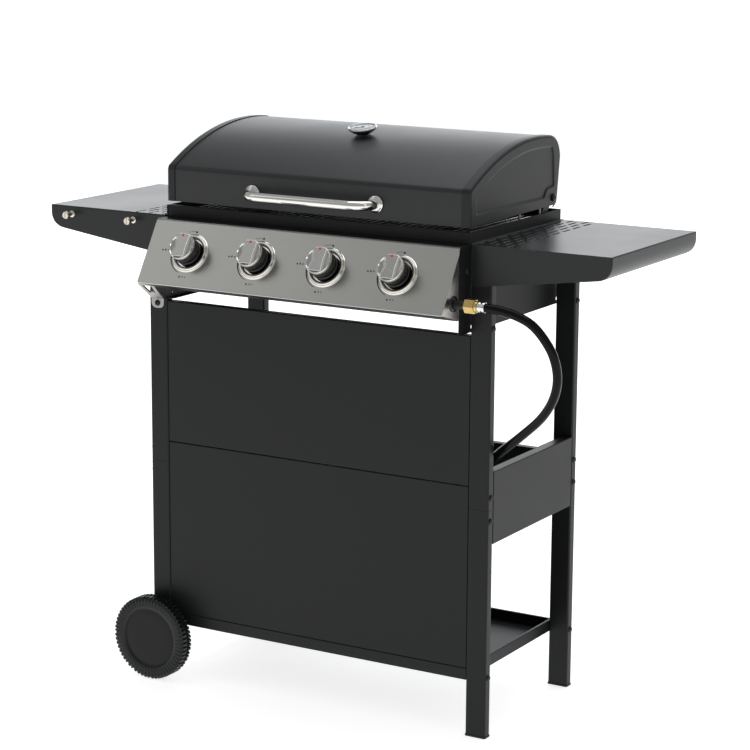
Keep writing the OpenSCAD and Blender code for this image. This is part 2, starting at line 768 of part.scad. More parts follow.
// The stem turns in its valve; the knob slides on the stem
module stem(i) {
    color([0.6, 0.6, 0.6]) at_cart() at_knob(i)
        translate([0, 0, stem_foot_z])
            cylinder(h = stem_bore_z - knob_travel - 0.5 - stem_foot_z, r = stem_d / 2);
}

module knob(i) {
    r = knob_d / 2;
    bore_r = stem_d / 2 + FIT;
    color([0.35, 0.35, 0.36]) at_cart() at_knob(i) {
        rotate_extrude() polygon([[bore_r, 4.5], [r, 4.5], [r, 8.6], [r - 1, 9], [r - 1.2, knob_h - 7],
            [r, knob_h - 5], [r, knob_h - 1.2], [r - 1.2, knob_h], [0, knob_h],
            [0, stem_bore_z], [bore_r, stem_bore_z]]);
        // Grip, narrow in the middle
        translate([0, 0, knob_h - 0.5]) linear_extrude(3) polygon([[r / 3, 0], [r / 2.2, r * 0.86],
            [-r / 2.2, r * 0.86], [-r / 3, 0], [-r / 2.2, -r * 0.86], [r / 2.2, -r * 0.86]]);
    }
}

// ---- gas line ----

module hose_nut() {
    hex_r = nut_af / 2 / cos(30);
    color([0.78, 0.62, 0.28]) at_cart() difference() {
        union() {
            // Two of its flats are level
            translate([nut_x, manifold_y, manifold_z]) rotate([30, 0, 0]) rotate([0, 90, 0])
                cylinder(h = collar_x - nut_x, r = hex_r, $fn = 6);
            rod_x([collar_x, manifold_y, manifold_z], ferrule_x - collar_x, nut_af - 3);
        }
        rod_x([nut_x - 1, manifold_y, manifold_z], 3.2, manifold_d + 2 * FIT);
    }
}

module hose_ferrule() {
    r = hose_d / 2;
    color([0.8, 0.8, 0.8]) at_cart()
        translate([ferrule_x, manifold_y, manifold_z]) rotate([0, 90, 0])
            rotate_extrude() polygon([[0, 0], [r + 0.4, 0], [r + 1.3, 1.5], [r + 1.3, 4], [r + 0.5, 5],
                [r + 0.5, 7], [r + 1.3, 8], [r + 1.3, 11], [r + 0.7, hose_x - ferrule_x], [0, hose_x - ferrule_x]]);
}

// Smooth line through the route's points, in n steps between two of them
function between(p, i, t) =
    let (
        a = i > 0 ? p[i - 1] : 2 * p[0] - p[1],
        b = p[i],
        c = p[i + 1],
        d = i < len(p) - 2 ? p[i + 2] : 2 * p[i + 1] - p[i]
    )
    0.5 * (2 * b + (c - a) * t + (2 * a - 5 * b + 4 * c - d) * t * t
        + (3 * b - a - 3 * c + d) * t * t * t);
function smooth(p, n) = concat(
    [for (i = [0:len(p) - 2], k = [0:n - 1]) between(p, i, k / n)], [p[len(p) - 1]]);
function heading(p, i) =
    i == 0 ? [1, 0, 0] : i == len(p) - 1 ? [0, 1, 0] : unit(p[i + 1] - p[i - 1]);
// A direction square to the line, carried along it without twisting
function carried(p, v) = [
    for (i = 0, n = v; i < len(p);
        i = i + 1, n = i < len(p) ? unit(n - heading(p, i) * (n * heading(p, i))) : n) n
];

module gas_hose() {
    sides = 10;
    line = smooth(HOSE, 2);
    up = carried(line, [0, 0, 1]);
    last = len(line) - 1;
    rings = [for (i = [0:last]) for (k = [0:sides - 1])
        let (a = 360 * k / sides, h = heading(line, i))
        line[i] + hose_d / 2 * (up[i] * cos(a) + cross(h, up[i]) * sin(a))];
    walls = [for (i = [0:last - 1], k = [0:sides - 1])
        let (a = i * sides + k, b = i * sides + (k + 1) % sides)
        [a, a + sides, b + sides, b]];
    start = [for (k = [0:sides - 1]) k];
    finish = [for (k = [sides - 1:-1:0]) last * sides + k];
    color([0.08, 0.08, 0.08])
        polyhedron(rings, concat(walls, [start, finish]), convexity = 8);
}

module regulator() {
    barb_z = HOSE[len(HOSE) - 1].z - regulator_at.z;
    hose_end = HOSE[len(HOSE) - 1].y - regulator_at.y;
    color([0.5, 0.5, 0.52]) translate(regulator_at) difference() {
        union() {
            rotate_extrude() polygon([[0, 0], [20, 0], [23, 3], [23, 19], [regulator_r, 21],
                [regulator_r, 25], [23, 26.5], [14, 33], [0, 34]]);
            rod_y([0, hose_end, barb_z], -hose_end - 15, 17);
            translate([-24 - 26, 0, barb_z]) rotate([0, 90, 0]) cylinder(h = 32, r = 15.2, $fn = 6);
        }
        rod_x([-60, 0, barb_z], 24, inlet_d);
    }
}

// ---- nodes ----

leg_lower(LEFT, FRONT);  // leg_front_left_lower
leg_upper(LEFT, FRONT);  // leg_front_left_upper
leg_lower(RIGHT, FRONT);  // leg_front_right_lower
leg_upper(RIGHT, FRONT);  // leg_front_right_upper
leg_lower(LEFT, REAR);  // leg_rear_left_lower
leg_upper(LEFT, REAR);  // leg_rear_left_upper
leg_lower(RIGHT, REAR);  // leg_rear_right_lower
leg_upper(RIGHT, REAR);  // leg_rear_right_upper
foot_caps();
bottom_shelf();
front_panel(shelf_z + shelf_lip + 0.5, seam_z - 0.5);  // front_panel_lower
front_panel(seam_z + 0.5, front_top_z);  // front_panel_upper
side_panel(LEFT);  // side_panel_left
side_panel(RIGHT);  // side_panel_right
rear_panel();
firebox();
firebox_plate(LEFT);  // firebox_plate_left
firebox_plate(RIGHT);  // firebox_plate_right
control_panel();
knob_bezels();
manifold();
valves();
burner(0);  // burner_1
burner(1);  // burner_2
burner(2);  // burner_3
burner(3);  // burner_4
flame_tamers();
igniters();
grate(LEFT);  // grate_left
grate(RIGHT);  // grate_right
warming_rack();
hinge_brackets();
hinge_pins();
table(LEFT);  // table_left
table(RIGHT);  // table_right
tool_pegs();
bottle_opener();
axle();
frame_screws();
lid_shell();
lid_cap(LEFT);  // lid_cap_left
lid_cap(RIGHT);  // lid_cap_right
lid_handle();
handle_rosettes();
thermometer();
stem(0);  // stem_1
stem(1);  // stem_2
stem(2);  // stem_3
stem(3);  // stem_4
knob(0);  // knob_1
knob(1);  // knob_2
knob(2);  // knob_3
knob(3);  // knob_4
wheel(FRONT);  // wheel_front
wheel(REAR);  // wheel_rear
drip_tray();
gas_hose();
hose_nut();
hose_ferrule();
regulator();
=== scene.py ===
import math

import bmesh
import bpy
from mathutils import Matrix, Vector


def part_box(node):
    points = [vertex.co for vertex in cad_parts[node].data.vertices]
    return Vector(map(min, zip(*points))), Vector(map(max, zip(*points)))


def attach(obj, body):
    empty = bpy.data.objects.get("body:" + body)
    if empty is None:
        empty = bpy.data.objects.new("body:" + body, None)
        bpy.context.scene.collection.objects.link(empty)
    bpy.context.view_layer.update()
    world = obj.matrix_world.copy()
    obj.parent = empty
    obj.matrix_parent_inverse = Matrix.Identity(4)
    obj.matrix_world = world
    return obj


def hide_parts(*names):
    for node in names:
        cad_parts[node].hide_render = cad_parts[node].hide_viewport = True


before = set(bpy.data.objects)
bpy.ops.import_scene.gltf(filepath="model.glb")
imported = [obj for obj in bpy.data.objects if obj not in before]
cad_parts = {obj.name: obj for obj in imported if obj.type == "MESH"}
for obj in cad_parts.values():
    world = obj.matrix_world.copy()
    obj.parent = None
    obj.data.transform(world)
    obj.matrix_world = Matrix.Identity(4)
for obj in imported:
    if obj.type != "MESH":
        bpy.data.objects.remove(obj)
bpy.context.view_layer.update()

# ---------------------------------------------------------------- sizes, in millimetres
# Shapes are written about the middle of the cart. CART is that middle in the part's own frame.


def box_mm(node):
    """A CAD node's two corners."""
    lo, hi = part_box(node)
    return lo * 1000 - CART, hi * 1000 - CART


def middle(node):
    lo, hi = box_mm(node)
    return (lo + hi) / 2


CART = Vector((0, 0, 0))
FRONT_Y = box_mm("leg_front_right_upper")[0].y
REAR_Y = box_mm("leg_rear_right_upper")[1].y
CART = Vector((0, (FRONT_Y + REAR_Y) / 2, 0))
HALF_W = box_mm("leg_front_right_upper")[1].x
HALF_D = box_mm("leg_rear_right_upper")[1].y
LEG_X = middle("leg_front_right_upper").x
BOX_X = box_mm("firebox_plate_right")[1].x
KNOB_X = [middle("knob_%d" % i).x for i in (1, 2, 3, 4)]
# Points in the lengthwise section are (y, z)
PANEL_TOP = (-HALF_D - 30, 826)
PANEL_LIP = (-HALF_D - 93, 724)
PANEL_TILT = math.atan2(PANEL_TOP[1] - PANEL_LIP[1], PANEL_TOP[0] - PANEL_LIP[0])
KNOB_RISE = 2
KNOB_Y = (PANEL_TOP[0] + PANEL_LIP[0]) / 2 + KNOB_RISE * math.cos(PANEL_TILT)
KNOB_Z = (PANEL_TOP[1] + PANEL_LIP[1]) / 2 + KNOB_RISE * math.sin(PANEL_TILT)
LID_X = box_mm("lid_cap_right")[1].x
LID_Z = box_mm("lid_shell")[0].z
LID_FRONT = box_mm("lid_cap_right")[0].y
CROWN = Vector((75, 513.2))
CROWN_R = 465
KNEE_R = 12
BACK = Vector((119.5, 0))
BACK_R = 39.5
BACK_LEAN = math.radians(7.6)
HINGE = (132, 869)
HEEL_R = 15
HEEL_Z = 864
HEEL_POINTS = 8
HANDLE_Z = 878
HANDLE_OUT = 35
HANDLE_END = 120
HANDLE_BEND = 30
HANDLE_R = 8
DIAL_Y = -3
DIAL_FACE = 11.6
BEZEL_R = 35
WHEEL_R = 75
HOSE_R = 7.5
MANIFOLD = (-HALF_D - 53, 738)
FERRULE_X = 341
SCREW_Z = [104, 372, 412, 692]

# The gas hose's route in the part's own frame, from the ferrule to the regulator
HOSE = [
    (353, -185, 738), (378, -184, 736), (406, -182, 730), (431, -178, 718),
    (450, -172, 697), (464, -164, 668), (467, -154, 632), (455, -142, 595),
    (428, -128, 558), (386, -113, 521), (342, -99, 486), (313, -90, 461),
    (292, -84, 434), (279, -79, 402), (272, -75, 365), (268, -72, 320),
    (266, -69, 270), (263, -65, 220), (254, -59, 174), (234, -50, 138),
    (204, -38, 114), (168, -26, 106), (128, -18, 105), (90, -10, 105),
    (54, 4, 105), (24, 28, 105), (4, 60, 106), (-2, 92, 110), (-2, 116, 113),
]

# ---------------------------------------------------------------- camera
camera_data = bpy.data.cameras.new("camera")
camera_data.lens = 116.97
camera_data.sensor_width = 36
camera = bpy.data.objects.new("camera", camera_data)
bpy.context.scene.collection.objects.link(camera)
camera.matrix_world = (
    Matrix.Translation((2.1298, -3.5233, 1.4309))
    @ Matrix.Rotation(math.radians(30.643), 4, "Z")
    @ Matrix.Rotation(math.radians(90 - 11.987), 4, "X")
    @ Matrix.Rotation(math.radians(0.345), 4, "Z")
)
bpy.context.scene.camera = camera

# ---------------------------------------------------------------- mesh tools


def tube_frames(path):
    """Each point's direction and a side that doesn't twist along the way."""
    ways = []
    for i in range(len(path)):
        a = path[max(i - 1, 0)]
        b = path[min(i + 1, len(path) - 1)]
        ways.append((b - a).normalized())
    side = ways[0].orthogonal().normalized()
    sides = []
    for way in ways:
        side = (side - way * side.dot(way)).normalized()
        sides.append(side)
    return ways, sides


def skin(bm, rings, round_trip=False, caps=True, mat=0):
    """Joins rings that have the same number of points. round_trip joins the last to the first,
    and caps closes both ends."""
    rows = [[bm.verts.new(p) for p in ring] for ring in rings]
    pairs = list(zip(rows, rows[1:]))
    if round_trip:
        pairs.append((rows[-1], rows[0]))
    for a, b in pairs:
        n = len(a)
        for i in range(n):
            face = bm.faces.new((a[i], a[(i + 1) % n], b[(i + 1) % n], b[i]))
            face.material_index = mat
    if caps and not round_trip:
        bm.faces.new(list(reversed(rows[0]))).material_index = mat
        bm.faces.new(rows[-1]).material_index = mat


def lathe(bm, profile, at, turns=64, reach=None):
    """A closed solid turned about local Z from (radius, height) points. A profile that starts off the
    axis runs back to its start. reach(angle, r, z) may change the radius at a point."""
    rings = []
    for r, z in profile:
        ring = []
        for k in range(turns):
            a = 2 * math.pi * k / turns
            rr = reach(a, r, z) if reach else r
            ring.append(at @ Vector((rr * math.cos(a), rr * math.sin(a), z)))
        rings.append(ring)
    skin(bm, rings, round_trip=profile[0][0] > 0)


def prism(bm, outline, z0, z1, at=Matrix(), mat=0, inset=0.0):
    """A closed slab over an outline of (x, y) points; inset narrows its top."""
    c = Vector((sum(p[0] for p in outline), sum(p[1] for p in outline))) / len(outline)
    low = [at @ Vector((p[0], p[1], z0)) for p in outline]
    top = []
    for p in outline:
        v = Vector((p[0], p[1])) - c
        k = max(0.0, 1 - inset / max(v.length, 0.001))
        top.append(at @ Vector((c.x + v.x * k, c.y + v.y * k, z1)))
    skin(bm, [low, top], mat=mat)


def sweep(bm, path, radius, sides):
    """A round rod along a path."""
    ways, across = tube_frames(path)
    rings = []
    for i, p in enumerate(path):
        up = ways[i].cross(across[i])
        ring = []
        for k in range(sides):
            a = 2 * math.pi * k / sides
            ring.append(p + radius * (math.cos(a) * across[i] + math.sin(a) * up))
        rings.append(ring)
    skin(bm, rings)


def arc(c, r, a0, a1, n):
    """Points of an arc about c in the plane, from a0 to a1 degrees."""
    out = []
    for i in range(n + 1):
        a = math.radians(a0 + (a1 - a0) * i / n)
        out.append(Vector((c[0] + r * math.cos(a), c[1] + r * math.sin(a))))
    return out


def filleted(points, radii, n):
    """The closed line through the points with each corner rounded in n steps."""
    out = []
    for i, r in enumerate(radii):
        p = Vector(points[i])
        if r == 0:
            out.append(p)
            continue
        a = Vector(points[i - 1]) - p
        b = Vector(points[(i + 1) % len(points)]) - p
        half = a.angle(b) / 2
        back = min(r / math.tan(half), a.length * 0.49, b.length * 0.49)
        rr = back * math.tan(half)
        a.normalize()
        b.normalize()
        c = p + (a + b).normalized() * (rr / math.sin(half))
        s = p + a * back - c
        e = p + b * back - c
        turn = s.angle_signed(e) * -1
        for k in range(n + 1):
            out.append(c + Matrix.Rotation(turn * k / n, 2) @ s)
    return out


FOLD_WIDTH = 3.2
RIM_WIDTH = 0.7


def edge_kind(edge):
    """fold: between two broad faces; rim: beside the thickness of a sheet; None: left alone."""
    if len(edge.link_faces) != 2 or not edge.is_convex:
        return None
    if edge.calc_face_angle(0) < math.radians(38):
        return None
    a, b = (v.co for v in edge.verts)
    way = b - a
    if way.length < 0.02:
        return None
    way.normalize()
    spans = []
    for face in edge.link_faces:
        spans.append(max((v.co - a - way * (v.co - a).dot(way)).length for v in face.verts))
    if min(spans) > FOLD_WIDTH:
        return "fold"
    return "rim" if min(spans) > RIM_WIDTH else None


def soften(bm, fold, rim, segments):
    """Rounds a mesh's outer folds and its sheet edges."""
    bmesh.ops.remove_doubles(bm, verts=bm.verts, dist=0.004)
    bmesh.ops.dissolve_limit(
        bm, angle_limit=math.radians(0.6), verts=bm.verts, edges=bm.edges, delimit={"MATERIAL"})
    for kind, width, steps, miter in (("fold", fold, segments, "ARC"), ("rim", rim, 2, "SHARP")):
        bm.normal_update()
        edges = [e for e in bm.edges if edge_kind(e) == kind]
        if edges:
            bmesh.ops.bevel(bm, geom=edges, offset=width, segments=steps, profile=0.5, affect="EDGES",
                            clamp_overlap=False, miter_outer=miter)
        bmesh.ops.remove_doubles(bm, verts=bm.verts, dist=0.003)
    bmesh.ops.dissolve_degenerate(bm, dist=0.002, edges=bm.edges)


def put(bm, name, materials, body, node=None, smooth=38, cart=True, flat_sides=False):
    """Makes an object of a mesh in millimetres and hangs it on a body. Edges sharper than smooth degrees
    stay sharp. cart says that the mesh is about the cart's middle. flat_sides keeps faces square to X
    flat."""
    bmesh.ops.recalc_face_normals(bm, faces=bm.faces)
    move = Matrix.Scale(0.001, 4) @ Matrix.Translation(CART if cart else Vector((0, 0, 0)))
    bmesh.ops.transform(bm, matrix=move, verts=bm.verts)
    mesh = bpy.data.meshes.new(name)
    bm.to_mesh(mesh)
    bm.free()
    for m in materials if isinstance(materials, list) else [materials]:
        mesh.materials.append(m)
    mesh.polygons.foreach_set("use_smooth", [True] * len(mesh.polygons))
    mesh.set_sharp_from_angle(angle=math.radians(smooth))
    if flat_sides:
        mesh.polygons.foreach_set("use_smooth", [abs(p.normal.x) < 0.9995 for p in mesh.polygons])
    obj = bpy.data.objects.new(name, mesh)
    bpy.context.scene.collection.objects.link(obj)
    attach(obj, body)
    if node:
        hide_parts(node)
    return obj


def copy_of(node):
    """A CAD node's mesh, in millimetres about the cart."""
    bm = bmesh.new()
    bm.from_mesh(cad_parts[node].data)
    move = Matrix.Translation(-CART) @ Matrix.Scale(1000, 4)
    bmesh.ops.transform(bm, matrix=move, verts=bm.verts)
    bmesh.ops.remove_doubles(bm, verts=bm.verts, dist=0.004)
    return bm


def weigh_normals(obj):
    """Lets the broad faces keep their own direction beside their rounded edges."""
    weigh = obj.modifiers.new("weigh_normals", "WEIGHTED_NORMAL")
    weigh.mode = "FACE_AREA"
    weigh.weight = 60
    weigh.keep_sharp = True


def softened(node, material, body, fold, rim=0.35, segments=3):
    """A CAD node with its edges rounded."""
    bm = copy_of(node)
    soften(bm, fold, rim, segments)
    weigh_normals(put(bm, "looks_" + node, material, body, node))


def sideways(side, x, y, z):
    """A place whose local Z points outwards on the left (side -1) or the right (side 1)."""
    return Matrix.Translation((side * x, y, z)) @ Matrix.Rotation(side * math.pi / 2, 4, "Y")


# ---------------------------------------------------------------- materials


def finish_of(name, colour, roughness, metallic=0.0, spread=0.0, rough_spread=0.04, grain=600.0,
              bump=0.0, stretch=(1, 1, 1), patches=6.0, specular=0.5, coat=0.0, bump_size=0.0003):
    """A material whose colour, roughness and fine relief vary over the surface. spread is how far the
    colour varies, grain and patches are the scales of the fine and the broad pattern, and stretch draws
    out the fine one."""
    mat = bpy.data.materials.new(name)
    mat.use_nodes = True
    tree = mat.node_tree
    links = tree.links
    shader = tree.nodes["Principled BSDF"]
    shader.inputs["Metallic"].default_value = metallic
    shader.inputs["Specular IOR Level"].default_value = specular
    shader.inputs["Coat Weight"].default_value = coat
    shader.inputs["Coat Roughness"].default_value = 0.1
    where = tree.nodes.new("ShaderNodeTexCoord")
    place = tree.nodes.new("ShaderNodeMapping")
    place.inputs["Scale"].default_value = stretch
    links.new(where.outputs["Object"], place.inputs["Vector"])
    broad = tree.nodes.new("ShaderNodeTexNoise")
    broad.inputs["Scale"].default_value = patches
    broad.inputs["Detail"].default_value = 5
    broad.inputs["Roughness"].default_value = 0.6
    links.new(where.outputs["Object"], broad.inputs["Vector"])
    fine = tree.nodes.new("ShaderNodeTexNoise")
    fine.inputs["Scale"].default_value = grain
    fine.inputs["Detail"].default_value = 3
    links.new(place.outputs["Vector"], fine.inputs["Vector"])
    ramp = tree.nodes.new("ShaderNodeValToRGB")
    dark = [c * (1 - spread) for c in colour]
    light = [min(1.0, c * (1 + spread)) for c in colour]
    ramp.color_ramp.elements[0].position = 0.3
    ramp.color_ramp.elements[0].color = (*dark, 1)
    ramp.color_ramp.elements[1].position = 0.7
    ramp.color_ramp.elements[1].color = (*light, 1)
    both = tree.nodes.new("ShaderNodeMath")
    both.operation = "MULTIPLY_ADD"
    both.inputs[1].default_value = 0.45
    links.new(fine.outputs["Fac"], both.inputs[0])
    half = tree.nodes.new("ShaderNodeMath")
    half.operation = "MULTIPLY"
    half.inputs[1].default_value = 0.55
    links.new(broad.outputs["Fac"], half.inputs[0])
    links.new(half.outputs[0], both.inputs[2])
    links.new(both.outputs[0], ramp.inputs["Fac"])
    links.new(ramp.outputs["Color"], shader.inputs["Base Color"])
    rough = tree.nodes.new("ShaderNodeMapRange")
    rough.inputs["From Min"].default_value = 0.3
    rough.inputs["From Max"].default_value = 0.7
    rough.inputs["To Min"].default_value = max(0.02, roughness - rough_spread)
    rough.inputs["To Max"].default_value = roughness + rough_spread
    links.new(both.outputs[0], rough.inputs["Value"])
    links.new(rough.outputs["Result"], shader.inputs["Roughness"])
    if bump:
        relief = tree.nodes.new("ShaderNodeBump")
        relief.inputs["Strength"].default_value = bump
        relief.inputs["Distance"].default_value = bump_size
        links.new(fine.outputs["Fac"], relief.inputs["Height"])
        links.new(relief.outputs["Normal"], shader.inputs["Normal"])
    return mat


BLACK = (0.0105, 0.0112, 0.0122)
POWDER = finish_of(
    "powder_coat", BLACK, 0.46, spread=0.12, grain=900, bump=0.25, specular=0.26)
POWDER_LEG = finish_of(
    "powder_coat_legs", BLACK, 0.42, spread=0.12, grain=900, bump=0.2, specular=0.24)
LID_PAINT = finish_of(
    "lid_enamel", (0.012, 0.013, 0.0145), 0.38, spread=0.1, grain=700, bump=0.12, specular=0.5)
CAP_PAINT = finish_of(
    "cap_enamel", (0.014, 0.015, 0.0165), 0.4, spread=0.12, grain=500, bump=0.2, specular=0.3)
FIREBOX_PAINT = finish_of(
    "firebox_enamel", (0.008, 0.0085, 0.009), 0.48, spread=0.15, grain=900, bump=0.25, specular=0.22)
TABLE_PAINT = finish_of(
    "table_coat", (0.0125, 0.0135, 0.0145), 0.34, spread=0.1, grain=900, bump=0.12, specular=0.36)
STAINLESS = finish_of(
    "brushed_stainless", (0.49, 0.49, 0.47), 0.3, metallic=1, spread=0.035, rough_spread=0.05,
    grain=900, bump=0.25, stretch=(0.02, 1, 1), bump_size=0.00006, patches=3)
CHEEK = finish_of(
    "stainless_cheek", (0.5, 0.48, 0.45), 0.3, metallic=1, spread=0.05, rough_spread=0.05,
    grain=700, bump=0.15, stretch=(1, 0.05, 1), bump_size=0.00005, patches=5)
CHROME = finish_of(
    "chrome", (0.82, 0.81, 0.78), 0.09, metallic=1, spread=0.02, rough_spread=0.03, grain=60)
BEZEL = finish_of(
    "bezel_chrome", (0.8, 0.775, 0.72), 0.12, metallic=1, spread=0.03, rough_spread=0.04, grain=80)
DARK_CHROME = finish_of(
    "thermometer_chrome", (0.6, 0.61, 0.62), 0.16, metallic=1, spread=0.04, rough_spread=0.04, grain=60)
BRASS = finish_of(
    "brass", (0.68, 0.5, 0.2), 0.28, metallic=1, spread=0.12, rough_spread=0.08, grain=300, bump=0.15)
STEEL = finish_of(
    "plain_steel", (0.42, 0.41, 0.4), 0.42, metallic=1, spread=0.12, rough_spread=0.08, grain=300,
    bump=0.15)
PIPE = finish_of(
    "black_pipe", (0.012, 0.012, 0.0125), 0.35, spread=0.15, grain=500, bump=0.2, specular=0.3)
BLACK_STEEL = finish_of(
    "black_steel", (0.02, 0.02, 0.021), 0.45, spread=0.15, grain=500, bump=0.2, specular=0.3)
SCREW_BLACK = finish_of(
    "black_screws", (0.012, 0.012, 0.013), 0.38, spread=0.15, grain=400, specular=0.35)
ENAMEL = finish_of(
    "grate_enamel", (0.018, 0.018, 0.019), 0.24, spread=0.2, grain=250, bump=0.3, coat=0.4)
CERAMIC = finish_of(
    "ceramic", (0.78, 0.76, 0.7), 0.4, spread=0.06, grain=200, bump=0.1)
ZINC = finish_of(
    "cast_zinc", (0.4, 0.39, 0.37), 0.42, metallic=0.85, spread=0.08, rough_spread=0.08, grain=240,
    bump=0.35)
NICKEL = finish_of(
    "nickel", (0.7, 0.66, 0.58), 0.24, metallic=1, spread=0.06, rough_spread=0.06, grain=120)
GALVANISED = finish_of(
    "galvanised", (0.55, 0.56, 0.57), 0.42, metallic=1, spread=0.16, rough_spread=0.1, grain=140,
    bump=0.1, patches=40)
KNOB_BLACK = finish_of(
    "knob_plastic", (0.007, 0.007, 0.0075), 0.2, spread=0.15, grain=400, bump=0.08)
WHEEL_DISC = finish_of(
    "wheel_disc", (0.0085, 0.009, 0.0085), 0.42, spread=0.12, grain=700, bump=0.2, specular=0.22)
WHEEL_TREAD = finish_of(
    "wheel_tread", (0.0115, 0.0125, 0.0135), 0.4, spread=0.2, grain=500, bump=0.3, specular=0.3)
RUBBER = finish_of(
    "hose_rubber", (0.0035, 0.0035, 0.004), 0.17, spread=0.2, grain=600, bump=0.1, patches=30,
    specular=0.13)
# Black print for the panel and the dial, also used as the painted shade of the burners' gas ports
INK_AND_PORT_SHADE = finish_of(
    "printed_ink_and_port_shade", (0.012, 0.012, 0.012), 0.6, spread=0.1, grain=500, specular=0.2)
RED = finish_of(
    "red_mark", (0.75, 0.03, 0.02), 0.4, spread=0.08, grain=200)
KNOB_FACE = finish_of(
    "knob_face", (0.5, 0.5, 0.49), 0.3, metallic=1, spread=0.14, rough_spread=0.08, grain=500,
    bump=0.2, stretch=(1, 0.2, 1), bump_size=0.0001, patches=60)
# Pale and mostly diffuse: on the top pads it paints part of their brightness, on each grip's left side it is
# a painted highlight
PAD_AND_GRIP_HIGHLIGHT = finish_of(
    "knob_pad", (0.62, 0.62, 0.61), 0.28, metallic=0.3, spread=0.05, grain=300, coat=0.4)
DIAL = finish_of(
    "dial_face", (0.42, 0.43, 0.44), 0.3, spread=0.04, grain=60, coat=0.3)
PLATE_GREY = finish_of(
    "regulator_zinc", (0.4, 0.41, 0.42), 0.45, metallic=0.9, spread=0.12, grain=200, bump=0.4)

# ---------------------------------------------------------------- gas hose


def through(points, steps):
    """Points of a smooth line through the given ones."""
    out = []
    last = len(points) - 1
    for i in range(last):
        a = points[i - 1] if i > 0 else 2 * points[0] - points[1]
        b = points[i]
        c = points[i + 1]
        d = points[i + 2] if i < last - 1 else 2 * points[last] - points[last - 1]
        for k in range(steps):
            t = k / steps
            out.append(0.5 * (2 * b + (c - a) * t + (2 * a - 5 * b + 4 * c - d) * t * t
                              + (3 * b - a - 3 * c + d) * t * t * t))
    out.append(points[last])
    return out


hose_line = through([Vector(p) for p in HOSE], 6)
bm = bmesh.new()
sweep(bm, hose_line, HOSE_R, 24)
hose = put(bm, "looks_gas_hose", RUBBER, "root", "gas_hose", cart=False)

# ---------------------------------------------------------------- legs, panels, firebox
for end in ("front", "rear"):
    for side in ("left", "right"):
        for part in ("lower", "upper"):
            softened("leg_%s_%s_%s" % (end, side, part), POWDER_LEG, "root",
                     fold=0.45, rim=0.3, segments=2)
softened("foot_caps", BLACK_STEEL, "root", fold=0.8, rim=0.3)
softened("bottom_shelf", POWDER, "root", fold=1.6)
for level in ("lower", "upper"):
    softened("front_panel_" + level, POWDER, "root", fold=1.4)
for side in ("left", "right"):
    softened("side_panel_" + side, POWDER_LEG, "root", fold=1.6)
softened("rear_panel", POWDER, "root", fold=1.4)
softened("firebox", FIREBOX_PAINT, "root", fold=1.2, rim=0.3)
for side in ("left", "right"):
    softened("firebox_plate_" + side, FIREBOX_PAINT, "root", fold=1.0)


def cross_r(a, arm, width):
    """Radius of a plus sign at an angle."""
    c = max(abs(math.cos(a)), 0.0001)
    s = max(abs(math.sin(a)), 0.0001)
    return max(min(arm / c, width / s), min(arm / s, width / c))


def pan_screw(bm, at, r=5.2, h=2.9, turn=0.3):
    """A domed screw head with a cross recess, turned by an angle."""
    dome = [(1, 0), (1, 0.3), (0.95, 0.55), (0.82, 0.8), (0.62, 0.95)]
    angles = [2 * math.pi * k / 48 for k in range(48)]
    rings = []
    for wide, high in dome:
        rr = r * wide
        rings.append([at @ Vector((rr * math.cos(a), rr * math.sin(a), h * high)) for a in angles])
    for z in (h, h * 0.35):
        ring = []
        for a in angles:
            rr = cross_r(a + turn, r * 0.46, r * 0.12)
            ring.append(at @ Vector((rr * math.cos(a), rr * math.sin(a), z)))
        rings.append(ring)
    skin(bm, rings)


bm = bmesh.new()
for side in (-1, 1):
    for end in (-1, 1):
        for n, z in enumerate(SCREW_Z):
            at = sideways(side, HALF_W, end * (HALF_D - 9), z)
            pan_screw(bm, at, turn=0.2 + 0.7 * n + end)
            lathe(bm, [(0, -9), (3, -9), (3, 0.2), (0, 0.2)], at, turns=20)
    pan_screw(bm, sideways(side, BOX_X, -HALF_D - 9, 785), turn=0.9)
at = Matrix.Translation((-LEG_X, -HALF_D - 2.2, 673)) @ Matrix.Rotation(math.pi / 2, 4, "X")
pan_screw(bm, at, turn=0.5)
put(bm, "looks_frame_screws", SCREW_BLACK, "root", "frame_screws")

# ---------------------------------------------------------------- control panel
# a: top flange's back edge, b: top fold, c: cheek's top, d: lower lip, e: cheek's foot
bm = bmesh.new()
inner = BOX_X - 1.3
back = -HALF_D - 36
split_z = PANEL_TOP[1] - (PANEL_TOP[0] - back) * math.tan(PANEL_TILT)
outline = [("a", inner, -HALF_D - 1, PANEL_TOP[1]), ("b", inner, *PANEL_TOP), ("c", BOX_X, back, split_z),
           ("d", BOX_X, *PANEL_LIP), ("e", BOX_X, back, 707.4)]
corners = {}
for side in (-1, 1):
    for key, x, y, z in outline:
        corners[key, side] = bm.verts.new((side * x, y, z))
for loop in ("ab", "bcd", "de"):
    bm.faces.new([corners[k, -1] for k in loop] + [corners[k, 1] for k in reversed(loop)])
for side in (-1, 1):
    bm.faces.new([corners[k, side] for k in "cde"])
bmesh.ops.recalc_face_normals(bm, faces=bm.faces)
bm.normal_update()
front_face = max(bm.faces, key=lambda f: f.calc_area())
if front_face.normal.y > 0:
    bmesh.ops.reverse_faces(bm, faces=bm.faces)
folds = [e for e in bm.edges if len(e.link_faces) == 2]
bmesh.ops.bevel(bm, geom=folds, offset=2.6, segments=5, profile=0.5, affect="EDGES", clamp_overlap=False)
bmesh.ops.solidify(bm, geom=list(bm.faces), thickness=1.1)
bm.normal_update()
for face in bm.faces:
    if abs(face.normal.z) > 0.95:
        face.material_index = 1
    elif abs(face.normal.x) > 0.9:
        face.material_index = 2
weigh_normals(put(bm, "looks_control_panel", [STAINLESS, FIREBOX_PAINT, CHEEK], "root",
                  "control_panel", smooth=30))

